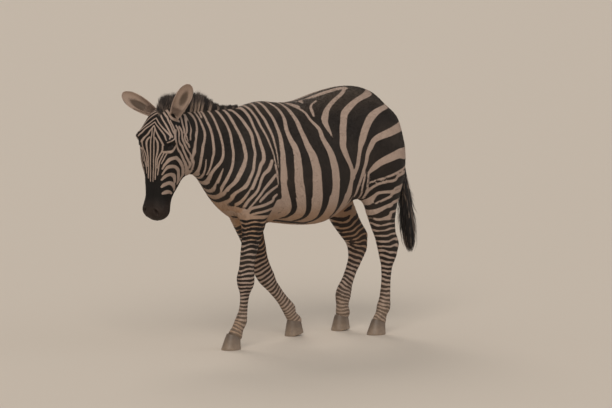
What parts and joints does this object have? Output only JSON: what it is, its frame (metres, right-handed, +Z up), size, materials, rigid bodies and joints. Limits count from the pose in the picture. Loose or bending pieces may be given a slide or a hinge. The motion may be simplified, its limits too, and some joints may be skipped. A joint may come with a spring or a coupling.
{
  "type": "zebra",
  "caption": "Life-size still model of a plains zebra walking with its head low: short upright mane, broad ears, tasselled tail and hooves, striped black and off-white.",
  "frame": {"origin": "on the floor under the middle of the bounding box", "axes": "+Z up, head toward -X, tail toward +X, the animal's left side toward -Y"},
  "size_m": [1.756, 0.553, 1.3815],
  "materials": {
    "coat": "short flat hair, black and off-white stripes",
    "muzzle": "bare dark skin with velvety short hair",
    "horn": "dark grey-brown hoof horn",
    "eye": "wet, very dark brown",
    "hair": "coarse upright and hanging hair"
  },
  "bodies": {
    "root": {"head": "coat", "neck": "coat", "chest": "coat", "barrel": "coat", "haunches": "coat", "dock": "coat", "forearm_left": "coat", "forearm_right": "coat", "gaskin_left": "coat", "gaskin_right": "coat", "fore_cannon_left": "coat", "fore_cannon_right": "coat", "hind_cannon_left": "coat", "hind_cannon_right": "coat", "fore_pastern_left": "coat", "fore_pastern_right": "coat", "hind_pastern_left": "coat", "hind_pastern_right": "coat", "ear_left": "coat", "ear_right": "coat", "muzzle": "muzzle", "hoof_fore_left": "horn", "hoof_fore_right": "horn", "hoof_hind_left": "horn", "hoof_hind_right": "horn", "eye_left": "eye", "eye_right": "eye", "mane": "hair", "forelock": "hair", "tail_hair": "hair"}
  },
  "joints": []
}
